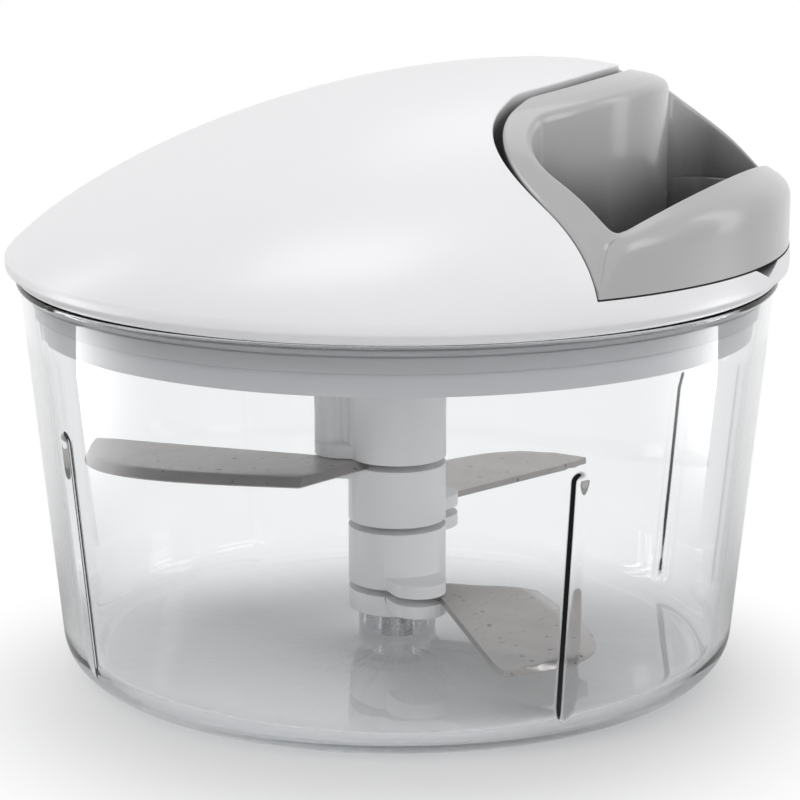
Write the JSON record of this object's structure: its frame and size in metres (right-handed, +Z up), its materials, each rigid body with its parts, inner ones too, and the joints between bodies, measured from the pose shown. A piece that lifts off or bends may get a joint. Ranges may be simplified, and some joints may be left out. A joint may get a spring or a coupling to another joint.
{
  "type": "pull-string food chopper",
  "caption": "Hand food chopper: clear tapered bowl with blades on a turning stem, under a domed lid whose loop handle pulls a cord to spin them.",
  "frame": {"origin": "centre of the bowl's base, on the surface that it stands on", "axes": "+Z up along the blades' axis, +X the way the handle is pulled out of the lid"},
  "size_m": [0.1376, 0.1376, 0.1091],
  "materials": {
    "clear_plastic": "clear gloss",
    "white_plastic": "satin gloss",
    "grey_plastic": "satin gloss",
    "stem_plastic": "satin gloss",
    "base_plastic": "satin gloss",
    "drive_plastic": "matte",
    "blade_steel": "brushed",
    "bright_steel": "bright",
    "seal_rubber": "matte",
    "cord_fibre": "braided"
  },
  "bodies": {
    "bowl": {"bowl": "clear_plastic", "pivot_pin": "bright_steel"},
    "blades": {"stem_foot": "stem_plastic", "lower_blade": "blade_steel", "stem_lower": "stem_plastic", "middle_blade": "blade_steel", "stem_upper": "stem_plastic", "upper_blade": "blade_steel", "stem_head": "stem_plastic"},
    "lid": {"lid_base": "base_plastic", "seal_ring": "seal_rubber", "lid_cover": "white_plastic", "cover_screws": "bright_steel", "shaft_bush": "drive_plastic", "recoil_spring": "blade_steel", "spring_cover": "base_plastic", "drum_housing": "base_plastic", "housing_screws": "bright_steel", "cord_eyelet": "bright_steel", "thrust_washer": "drive_plastic"},
    "drum": {"drive_shaft": "bright_steel", "cord_drum": "drive_plastic", "retaining_clip": "bright_steel", "cord_winding": "cord_fibre"},
    "handle": {"pull_handle": "grey_plastic", "cord_plug": "grey_plastic", "cord_knot": "cord_fibre", "pull_cord": "cord_fibre"}
  },
  "joints": [
    {"name": "lid_lift", "type": "slide", "parent": "bowl", "child": "lid", "axis": [0, 0, 1], "range_m": [0, 0.1]},
    {"name": "handle_pull", "type": "slide", "parent": "lid", "child": "handle", "axis": [1, 0, 0], "range_m": [0, 0.38], "stiffness_N_per_m": 20, "springref_m": -0.15, "deforming": ["pull_cord"]},
    {"name": "drum_spin", "type": "hinge", "parent": "lid", "child": "drum", "pos_m": [0, 0, 0.085], "axis": [0, 0, 1], "range_deg": [0, 1452]},
    {"name": "blade_spin", "type": "hinge", "parent": "bowl", "child": "blades", "pos_m": [0, 0, 0.03], "axis": [0, 0, 1], "range_deg": [0, 1452]}
  ],
  "couplings": [
    {"joint": "drum_spin", "follows": "handle_pull", "rad_per_m": 66.667},
    {"joint": "blade_spin", "follows": "handle_pull", "rad_per_m": 66.667}
  ]
}
